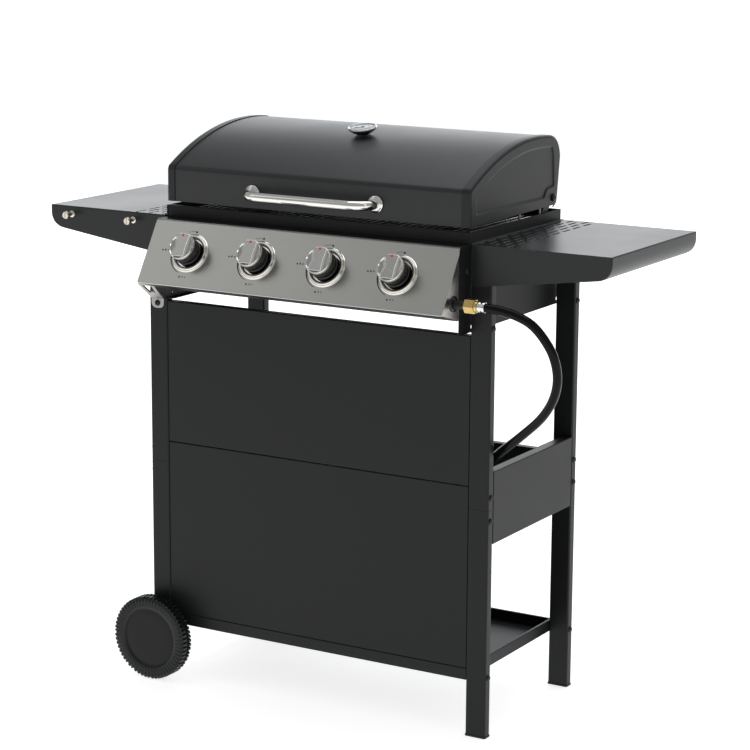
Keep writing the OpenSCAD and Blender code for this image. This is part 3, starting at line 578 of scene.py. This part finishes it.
# A grommet where the gas pipe leaves through the right cheek
bm = bmesh.new()
lathe(bm, [(8.1, -1.6), (12.4, -1.6), (13.0, -0.6), (13.0, 1.4), (12.2, 2.4), (10.6, 2.8), (8.1, 2.8)],
      sideways(1, BOX_X, *MANIFOLD), turns=48)
put(bm, "pipe_grommet", KNOB_BLACK, "root", smooth=45)


def at_knob(i):
    """A knob's place on the panel. Local Z points out of the panel and local Y up it."""
    return Matrix.Translation((KNOB_X[i], KNOB_Y, KNOB_Z)) @ Matrix.Rotation(PANEL_TILT, 4, "X")


def flame(cx, cy, size):
    """A small flame's outline."""
    out = []
    for k in range(16):
        a = 2 * math.pi * k / 16
        r = size * (0.62 + (0.55 if k == 4 else 0.16 * math.sin(a)))
        out.append((cx + r * 0.72 * math.cos(a), cy + r * math.sin(a)))
    return out


def disc(cx, cy, r, n=16):
    """A circle's outline."""
    angles = [2 * math.pi * k / n for k in range(n)]
    return [(cx + r * math.cos(a), cy + r * math.sin(a)) for a in angles]


def band(bm, at, r0, r1, a0, a1, taper=0.0):
    """A printed arc between two radii; taper thins its far end."""
    outer_arc = arc((0, 0), r1, a0, a1, 24)
    inner_arc = [p * ((r0 + taper * k / 24) / r1) for k, p in enumerate(outer_arc)]
    prism(bm, [p.to_tuple() for p in outer_arc + inner_arc[::-1]], *PRINT, at)


# A print's underside and top, above the panel
PRINT = (-0.02, 0.1)
bm = bmesh.new()
for i in range(4):
    at = at_knob(i)
    prism(bm, disc(0, 39.5, 1.9), *PRINT, at)
    band(bm, at, 40.6, 41.2, 94, 112)
    for dot, flames in (((-57, 2, 1.5), ((-51.5, 2, 2.8), (-46, 2, 2.3))),
                        ((-7.5, -43.5, 1.6), ((-1.5, -43.5, 2.2), (3.5, -43.5, 1.8)))):
        prism(bm, disc(*dot), *PRINT, at)
        for place in flames:
            prism(bm, flame(*place), *PRINT, at)
    band(bm, at, BEZEL_R + 0.2, BEZEL_R + 3.2, 172, 250, 2.2)
put(bm, "panel_prints", INK_AND_PORT_SHADE, "root")

BEZEL_RING = [
    (9.5, 0.02), (BEZEL_R, 0.02), (BEZEL_R, 1.0), (34.5, 1.6), (33.5, 1.8), (32.9, 2.6), (32.6, 4.4),
    (31.9, 5.5), (30.8, 5.95), (29.2, 5.8), (27.8, 5.0), (26.7, 3.9), (26.1, 2.4), (25.8, 0.9), (9.5, 0.9),
]
bm = bmesh.new()
for i in range(4):
    lathe(bm, BEZEL_RING, at_knob(i), turns=96)
put(bm, "looks_knob_bezels", BEZEL, "root", "knob_bezels", smooth=50)

# ---------------------------------------------------------------- knobs and stems
CAP_R = 23.75
RIBS = 72
SKIRT = [(4.1, 4.5), (23.2, 4.5), (CAP_R, 5.1), (CAP_R, 7.9), (23.4, 8.6), (22.5, 9.1), (22.5, 9.8),
         (22.5, 18), (22.5, 26.4), (22.5, 27), (4.1, 27)]
CAP = [(0, 20.2), (21, 20.2), (22.6, 27.1), (23.6, 27.3), (CAP_R, 27.8), (CAP_R, 31.7), (23.4, 32.5),
       (22.6, 32.8), (21.8, 32.6), (20.6, 31.2), (17, 30.2), (10, 29.8), (0, 29.8)]
# The grip's outline at its top and at its foot
WAIST = [(11, 0), (12.2, 19.4), (-12.2, 19.4), (-5.4, 0), (-12.2, -19.4), (12.2, -19.4)]
WAIST_FOOT = [(14.2, 0), (14.4, 17.4), (-18.4, 13.0), (-13.4, 0), (-18.4, -13.0), (14.4, -17.4)]


def ribbed(a, r, z):
    """Ribs round the outside of the skirt, between its foot and its top."""
    return r + (0.3 * math.cos(RIBS * a) if 9.5 < z < 27 and r > 20 else 0)


for i in range(4):
    body = "knob_%d" % (i + 1)
    at = at_knob(i)
    bm = bmesh.new()
    lathe(bm, SKIRT, at, turns=RIBS * 4, reach=ribbed)
    put(bm, "knob_skirt_%d" % (i + 1), KNOB_BLACK, body, body)
    bm = bmesh.new()
    lathe(bm, CAP, at, turns=96)
    for face in bm.faces:
        c = at.inverted() @ face.calc_center_median()
        face.material_index = 1 if c.z > 29 and math.hypot(c.x, c.y) < 21 else 0
    foot = [at @ Vector((x, y, 29.5)) for x, y in WAIST_FOOT]
    side = [at @ Vector((x, y, 34.6)) for x, y in WAIST]
    edge = [at @ Vector((x * 0.96, y * 0.985, 35.0)) for x, y in WAIST]
    skin(bm, [foot, side], caps=False)
    skin(bm, [side, edge], caps=False)
    # The grip's left side takes the pale pad material, a painted highlight for the light it catches from the
    # left
    for face in bm.faces:
        c = at.inverted() @ face.calc_center_median()
        if c.x < -7 and 31 < c.z < 34.5 and len(face.verts) == 4 and math.hypot(c.x, c.y) < 19:
            face.material_index = 2
    bm.faces.new([bm.verts.new(p) for p in edge]).material_index = 1
    bm.faces.new([bm.verts.new(p) for p in reversed(foot)])
    bmesh.ops.remove_doubles(bm, verts=bm.verts, dist=0.001)
    put(bm, "knob_cap_%d" % (i + 1), [CHROME, KNOB_FACE, PAD_AND_GRIP_HIGHLIGHT], body, smooth=24)
    bm = bmesh.new()
    pad = [p.to_tuple() for p in arc((0, 0), 22.9, 58, 122, 14)]
    prism(bm, pad, 29.5, 35.2, at, inset=0.5)
    put(bm, "knob_pad_%d" % (i + 1), PAD_AND_GRIP_HIGHLIGHT, body, smooth=24)
    bm = bmesh.new()
    prism(bm, [(1.7, 17.4), (1.7, 20.6), (-1.7, 20.6), (-1.7, 17.4), (0, 15.9)], 34.9, 35.45, at)
    put(bm, "knob_mark_%d" % (i + 1), RED, body)
    softened("stem_%d" % (i + 1), STEEL, "stem_%d" % (i + 1), fold=0.4, rim=0.3)

# ---------------------------------------------------------------- lid


def circle_top(c, r, y):
    """Height of a circle's upper side at y."""
    return c.y + math.sqrt(r * r - (y - c.x) ** 2)


KNEE = Vector((LID_FRONT + KNEE_R, 0))
KNEE.y = circle_top(CROWN, CROWN_R - KNEE_R, KNEE.x)
BACK.y = circle_top(CROWN, CROWN_R - BACK_R, BACK.x)
KNEE_A = math.degrees(math.atan2(KNEE.y - CROWN.y, KNEE.x - CROWN.x))
BACK_A = math.degrees(math.atan2(BACK.y - CROWN.y, BACK.x - CROWN.x))


def lid_line(inset, low=LID_Z, heel=True):
    """The lid's outline from the front's lower edge over the crown to the back, moved in by inset.
    The cap alone has the heel, a rounded end below the hinge."""
    lean = math.degrees(BACK_LEAN)
    out = [Vector((LID_FRONT + inset, low + 9 * k)) for k in range(3)]
    out += arc(KNEE, KNEE_R - inset, 180, KNEE_A, 10)
    out += arc(CROWN, CROWN_R - inset, KNEE_A - 0.7, BACK_A + 0.7, 46)
    out += arc(BACK, BACK_R - inset, BACK_A, -lean, 16)
    start = BACK + BACK_R * Vector((math.cos(BACK_LEAN), -math.sin(BACK_LEAN)))
    down = Vector((-math.sin(BACK_LEAN), -math.cos(BACK_LEAN)))
    tail = start + down * ((start.y - HEEL_Z) / math.cos(BACK_LEAN))
    push = Vector((-math.cos(BACK_LEAN), math.sin(BACK_LEAN))) * inset
    out += [start + (tail - start) * 0.5 + push, tail + push]
    if heel:
        centre = tail - HEEL_R * Vector((math.cos(BACK_LEAN), -math.sin(BACK_LEAN)))
        out += arc(centre, HEEL_R - inset, -lean - 12, -90, HEEL_POINTS - 1)
    return out


def from_side(points, x):
    """Points of the lengthwise section, at x."""
    return [Vector((x, p.x, p.y)) for p in points]


# Shell between the caps
outer = [Vector((LID_FRONT + 12, LID_Z)), *lid_line(1.3, heel=False)]
inner_line = [Vector((LID_FRONT + 12, LID_Z + 1)), *lid_line(2.3, low=LID_Z + 1, heel=False)]
outline = outer + list(reversed(inner_line))
shell_x = LID_X - 1.4
bm = bmesh.new()
skin(bm, [from_side(outline, -shell_x), from_side(outline, shell_x)])
put(bm, "looks_lid_shell", LID_PAINT, "lid", "lid_shell", smooth=40)


def spaced(points, count):
    """The closed line as count points, evenly spaced."""
    loop = points + [points[0]]
    lengths = [0]
    for a, b in zip(loop, loop[1:]):
        lengths.append(lengths[-1] + (b - a).length)
    out = []
    j = 0
    for i in range(count):
        want = lengths[-1] * i / count
        while lengths[j + 1] < want:
            j += 1
        t = (want - lengths[j]) / max(lengths[j + 1] - lengths[j], 0.0001)
        out.append(loop[j].lerp(loop[j + 1], t))
    return out


def grown(points, by):
    """The closed anticlockwise line moved outwards by a distance."""
    out = []
    n = len(points)
    for i in range(n):
        way = (points[(i + 1) % n] - points[i - 1]).normalized()
        out.append(points[i] + Vector((way.y, -way.x)) * by)
    return out


# The pressed outline on a cap's side: along the bottom, round the hinge's screw, up the back, over the top
press_top = arc(CROWN, CROWN_R - 18, 83.4, 119.0, 26)
press_line = [(-142, 870), (100, 870), (109, 884), (137, 887), (133, 944)] + [p.to_tuple() for p in press_top]
PRESS = spaced(filleted(press_line, [6, 8, 8, 6, 30] + [0] * 26 + [6], 6), 220)
# How far the folded edge reaches in at the heel, where the hinge bracket passes
HEEL_FOLD = 3.2


def lid_cap(side):
    """A pressed cap with its edge folded in over the shell."""
    bm = bmesh.new()
    rows = []
    for inset, depth in ((0, LID_X - 16), (0, LID_X - 5), (0.38, LID_X - 3.1), (1.46, LID_X - 1.46),
                         (3.1, LID_X - 0.38), (5, LID_X)):
        line = lid_line(inset)
        depths = [depth] * (len(line) - HEEL_POINTS) + [max(depth, LID_X - HEEL_FOLD)] * HEEL_POINTS
        rows.append([bm.verts.new((side * x, p.x, p.y)) for x, p in zip(depths, line)])
    for a, b in zip(rows, rows[1:]):
        for k in range(len(a) - 1):
            bm.faces.new((a[k], a[k + 1], b[k + 1], b[k]))
    # Side face with the pressed field inside it
    ring = [bm.verts.new((side * LID_X, p.x, p.y)) for p in PRESS]
    n = len(ring)
    loops = [ring]
    for by, drop in ((0.8, 0.15), (1.6, 0.8), (2.6, 1.6), (3.6, 2.0), (5.0, 2.1)):
        loops.append([bm.verts.new((side * (LID_X - drop), p.x, p.y)) for p in grown(PRESS, -by)])
    for a, b in zip(loops, loops[1:]):
        for k in range(n):
            bm.faces.new((a[k], a[(k + 1) % n], b[(k + 1) % n], b[k]))
    bm.faces.new(loops[-1])
    border = [bm.edges.get((rows[-1][k], rows[-1][k + 1])) for k in range(len(rows[-1]) - 1)]
    border.append(bm.edges.new((rows[-1][-1], rows[-1][0])))
    hole = [bm.edges.get((ring[k], ring[(k + 1) % n])) for k in range(n)]
    bmesh.ops.triangle_fill(bm, edges=border + hole, use_beauty=True, use_dissolve=False)
    bmesh.ops.remove_doubles(bm, verts=bm.verts, dist=0.01)
    bmesh.ops.recalc_face_normals(bm, faces=bm.faces)
    bm.normal_update()
    biggest = max(bm.faces, key=lambda f: f.calc_area())
    if biggest.normal.x * side < 0:
        bmesh.ops.reverse_faces(bm, faces=bm.faces)
    bmesh.ops.solidify(bm, geom=list(bm.faces), thickness=1.1)
    return bm


for side, name in ((-1, "lid_cap_left"), (1, "lid_cap_right")):
    put(lid_cap(side), "looks_" + name, CAP_PAINT, "lid", name, smooth=32, flat_sides=True)

# Handle with its rosettes
bm = bmesh.new()
bar_y = LID_FRONT - HANDLE_OUT
path = [Vector((-HANDLE_END, LID_FRONT + 0.5, HANDLE_Z)),
        Vector((-HANDLE_END, LID_FRONT - HANDLE_OUT + HANDLE_BEND, HANDLE_Z))]
for k in range(1, 13):
    a = math.radians(90 * k / 12)
    path.append(Vector((-HANDLE_END + HANDLE_BEND - HANDLE_BEND * math.cos(a),
                        bar_y + HANDLE_BEND - HANDLE_BEND * math.sin(a), HANDLE_Z)))
path += [Vector((-p.x, p.y, p.z)) for p in reversed(path)]
sweep(bm, path, HANDLE_R, 40)
put(bm, "looks_lid_handle", CHROME, "lid", "lid_handle")
ROSETTE = [(8.05, 0), (14.5, 0), (14.5, 0.9), (14.0, 1.6), (12.9, 1.9), (12.2, 2.5), (11.4, 3.4), (10.2, 3.9),
           (9.4, 4.2), (8.05, 4.2)]
bm = bmesh.new()
for side in (-1, 1):
    at = Matrix.Translation((side * HANDLE_END, LID_FRONT, HANDLE_Z)) @ Matrix.Rotation(math.pi / 2, 4, "X")
    lathe(bm, ROSETTE, at)
put(bm, "looks_handle_rosettes", CHROME, "lid", "handle_rosettes", smooth=45)

# Thermometer
lean = math.asin((CROWN.x - DIAL_Y) / CROWN_R)
AT_DIAL = (Matrix.Translation((0, DIAL_Y, CROWN.y + CROWN_R * math.cos(lean)))
           @ Matrix.Rotation(lean, 4, "X"))
CASE = [(0, 0), (11, 0), (12.5, 0.3), (14, 1.2), (17.5, 3.2), (21, 5.6), (23.4, 7.7), (24.5, 9.1), (25, 10.4),
        (24.9, 11.4), (24.4, 12.2), (23.7, 12.6), (22.9, 12.5), (22.3, 11.9), (22.1, 11.3), (0, 11.3)]
bm = bmesh.new()
lathe(bm, CASE, AT_DIAL, turns=96)
lathe(bm, [(0, -50), (2.4, -50), (3, -49), (3, 0.5), (0, 0.5)], AT_DIAL, turns=24)
put(bm, "looks_thermometer", DARK_CHROME, "lid", "thermometer", smooth=40)
bm = bmesh.new()
lathe(bm, [(0, DIAL_FACE - 0.4), (22, DIAL_FACE - 0.4), (22, DIAL_FACE - 0.15), (21.4, DIAL_FACE),
           (0, DIAL_FACE)], AT_DIAL, turns=72)
put(bm, "dial_face", DIAL, "lid")
bm = bmesh.new()
for k in range(41):
    a = math.radians(225 - 270 * k / 40)
    long, w = (3.0, 0.32) if k % 5 == 0 else (1.6, 0.17)
    turn = AT_DIAL @ Matrix.Rotation(a, 4, "Z")
    tick = [(20.2 - long, -w), (20.2, -w), (20.2, w), (20.2 - long, w)]
    prism(bm, tick, DIAL_FACE - 0.02, DIAL_FACE + 0.08, turn)
for k in range(25):
    a0 = math.radians(225 - 270 * k / 25)
    a1 = math.radians(225 - 270 * (k + 0.98) / 25)
    quad = [(r * math.cos(a), r * math.sin(a)) for r, a in ((12.2, a0), (12.9, a0), (12.9, a1), (12.2, a1))]
    prism(bm, quad, DIAL_FACE - 0.02, DIAL_FACE + 0.06, AT_DIAL)
lathe(bm, [(0, DIAL_FACE), (2, DIAL_FACE), (2, DIAL_FACE + 0.5), (1.6, DIAL_FACE + 0.8),
           (0, DIAL_FACE + 0.8)], AT_DIAL, turns=24)
put(bm, "dial_marks", INK_AND_PORT_SHADE, "lid")
bm = bmesh.new()
turn = AT_DIAL @ Matrix.Rotation(math.radians(222), 4, "Z")
prism(bm, [(-4.5, -0.6), (17, -0.2), (17, 0.2), (-4.5, 0.6)], DIAL_FACE + 0.2, DIAL_FACE + 0.5, turn)
put(bm, "dial_needle", INK_AND_PORT_SHADE, "lid")

# Hinge
softened("hinge_brackets", BLACK_STEEL, "root", fold=0.5, rim=0.3)
bm = bmesh.new()
for side in (-1, 1):
    shank = [(0, -8.5), (3.6, -8.5), (4, -8.1), (4, 1), (0, 1)]
    lathe(bm, shank, sideways(side, LID_X, *HINGE), turns=32)
    pan_screw(bm, sideways(side, LID_X + 0.9, *HINGE), r=7, h=3.1, turn=0.4)
put(bm, "looks_hinge_pins", SCREW_BLACK, "root", "hinge_pins")

# ---------------------------------------------------------------- firebox fittings
softened("manifold", PIPE, "root", fold=0.5, rim=0.3)
softened("valves", BRASS, "root", fold=0.6, rim=0.4)
softened("flame_tamers", STEEL, "root", fold=0.6, rim=0.25)
softened("igniters", CERAMIC, "root", fold=0.4, rim=0.3)
softened("warming_rack", STEEL, "root", fold=0.5, rim=0.3)
PORT_TURN = math.radians(55)
for side in ("left", "right"):
    softened("grate_" + side, ENAMEL, "root", fold=0.5, rim=0.4)
for i in range(4):
    name = "burner_%d" % (i + 1)
    softened(name, STEEL, "root", fold=0.5, rim=0.3)
    lo, hi = box_mm(name)
    r = (hi.x - lo.x) / 2
    # Rows of gas ports, as dark discs on the tube: painted shade where the holes would be
    bm = bmesh.new()
    for side in (-1, 1):
        for k in range(34):
            at = (Matrix.Translation((KNOB_X[i], -128 + 8 * k, middle(name).z))
                  @ Matrix.Rotation(side * PORT_TURN, 4, "Y"))
            prism(bm, disc(0, 0, 1.3, 10), r - 0.3, r + 0.06, at)
    put(bm, "ports_%d" % (i + 1), INK_AND_PORT_SHADE, "root")

# ---------------------------------------------------------------- side tables
for side in ("left", "right"):
    softened("table_" + side, TABLE_PAINT, "root", fold=2.2, rim=0.35, segments=4)
softened("tool_pegs", NICKEL, "root", fold=0.5, rim=0.35)
softened("bottle_opener", ZINC, "root", fold=0.8, rim=0.6)

# ---------------------------------------------------------------- wheels
LUGS = 60
TREAD_FLOOR = 71.8
# The wheel's section from the middle of its outer face, over the disc and the tyre, to the back of the hub
SECTION = [
    (0, 3.4), (14, 3.2), (30, 3.1), (44, 3.5), (49, 4.1), (51, 4.4), (52, 4.2), (52.6, 3.0), (53.6, 1.9),
    (55.5, 1.0), (58.5, 0.5), (62, 0.3), (66, 0.4), (69, 0.9), (71, 1.6), (WHEEL_R, 2.4), (WHEEL_R, 12.6),
    (TREAD_FLOOR, 13.2), (TREAD_FLOOR, 16.8), (WHEEL_R, 17.4), (WHEEL_R, 25.2), (71, 26), (69.5, 27.6),
    (68, 29), (66, 30), (60, 30), (57, 14), (20, 13), (13, 16), (13, 38.6), (5.1, 38.6), (5.1, 8), (0, 8),
]
RIB = [(58, -0.9), (70.8, -1.5), (70.8, 1.5), (58, 0.9)]


def lugged(a, r, z):
    """Lugs round the tread. The row behind the middle groove is half a step round."""
    if r < 73.5:
        return r
    turn = (a * LUGS / (2 * math.pi)) % 1
    turn = (turn + (0.5 if z > 15 else 0)) % 1
    return r if turn < 0.55 else TREAD_FLOOR


for end, name in ((-1, "wheel_front"), (1, "wheel_rear")):
    at = (Matrix.Translation((-LEG_X, end * (HALF_D + 43), WHEEL_R))
          @ Matrix.Rotation(end * math.pi / 2, 4, "X"))
    bm = bmesh.new()
    lathe(bm, SECTION, at, turns=LUGS * 4, reach=lugged)
    bmesh.ops.remove_doubles(bm, verts=bm.verts, dist=0.001)
    for face in bm.faces:
        c = at.inverted() @ face.calc_center_median()
        face.material_index = 1 if math.hypot(c.x, c.y) > 52.2 else 0
    # Short ribs round the shoulder of the tyre
    for k in range(LUGS):
        turn = at @ Matrix.Rotation(2 * math.pi * (k + 0.2) / LUGS, 4, "Z")
        prism(bm, RIB, 2.2, -0.35, turn, mat=1, inset=0.5)
    put(bm, "looks_" + name, [WHEEL_DISC, WHEEL_TREAD], name, name, smooth=30)
softened("axle", STEEL, "root", fold=0.5, rim=0.3)

# ---------------------------------------------------------------- drip tray
softened("drip_tray", GALVANISED, "drip_tray", fold=1.2, rim=0.3)

# ---------------------------------------------------------------- gas line
softened("hose_nut", BRASS, "root", fold=0.9, rim=0.5)
FERRULE = [(0, 0), (7.4, 0), (7.9, 0.4), (8.8, 1.4), (8.8, 3.9), (8.3, 4.6), (7.9, 5.2), (7.9, 6.8),
           (8.3, 7.4), (8.8, 8.2), (8.8, 10.8), (8.4, 12.2), (8.2, 13), (0, 13)]
bm = bmesh.new()
lathe(bm, FERRULE, sideways(1, FERRULE_X, *MANIFOLD), turns=48)
ferrule = put(bm, "looks_hose_ferrule", CHROME, "root", "hose_ferrule", smooth=45)
softened("regulator", PLATE_GREY, "root", fold=1.0, rim=0.5)

# ---------------------------------------------------------------- studio
# The floor glows a little, so that it stays nearly white all round the grill
FLOOR_GLOW = 0.75
SKY = 0.36
floor_mat = finish_of("floor", (0.8, 0.8, 0.8), 0.8, spread=0.01, grain=20, specular=0.1)
floor_shader = floor_mat.node_tree.nodes["Principled BSDF"]
floor_shader.inputs["Emission Color"].default_value = (1, 1, 1, 1)
floor_shader.inputs["Emission Strength"].default_value = FLOOR_GLOW
bm = bmesh.new()
bmesh.ops.create_grid(bm, x_segments=4, y_segments=4, size=40)
floor_mesh = bpy.data.meshes.new("floor")
bm.to_mesh(floor_mesh)
bm.free()
floor_mesh.materials.append(floor_mat)
floor = bpy.data.objects.new("floor", floor_mesh)
floor.location = (0, 0, -0.0005)
bpy.context.scene.collection.objects.link(floor)

world = bpy.data.worlds.new("studio")
bpy.context.scene.world = world
world.use_nodes = True
sky = world.node_tree.nodes["Background"]
sky.inputs["Color"].default_value = (1, 1, 1, 1)
sky.inputs["Strength"].default_value = SKY


def softbox(name, place, aim, size, radiance, colour=(1, 1, 1)):
    """A soft rectangle of light that the camera doesn't see."""
    data = bpy.data.lights.new(name, "AREA")
    data.shape = "RECTANGLE"
    data.size = size[0]
    data.size_y = size[1]
    data.energy = math.pi * size[0] * size[1] * radiance
    data.color = colour
    lamp = bpy.data.objects.new(name, data)
    lamp.location = place
    lamp.rotation_mode = "QUATERNION"
    lamp.rotation_quaternion = (Vector(aim) - Vector(place)).to_track_quat("-Z", "Y")
    lamp.visible_camera = False
    bpy.context.scene.collection.objects.link(lamp)


softbox("behind", (-2.5, 5.5, 2.2), (0, 0, 0.8), (9.0, 3.6), 1.7, (0.94, 0.97, 1.0))
softbox("above", (0, 1.0, 4.5), (0, 0, 0.7), (4.0, 4.0), 1.3, (0.96, 0.98, 1.0))
softbox("right", (3.5, -1.3, 2.7), (0.2, 0, 0.7), (0.6, 1.6), 1.2)
softbox("front_left", (-3.0, -2.2, 3.3), (0, 0, 0.7), (1.6, 2.0), 0.5)
bpy.context.scene.view_settings.view_transform = "Standard"
bpy.context.scene.view_settings.look = "None"
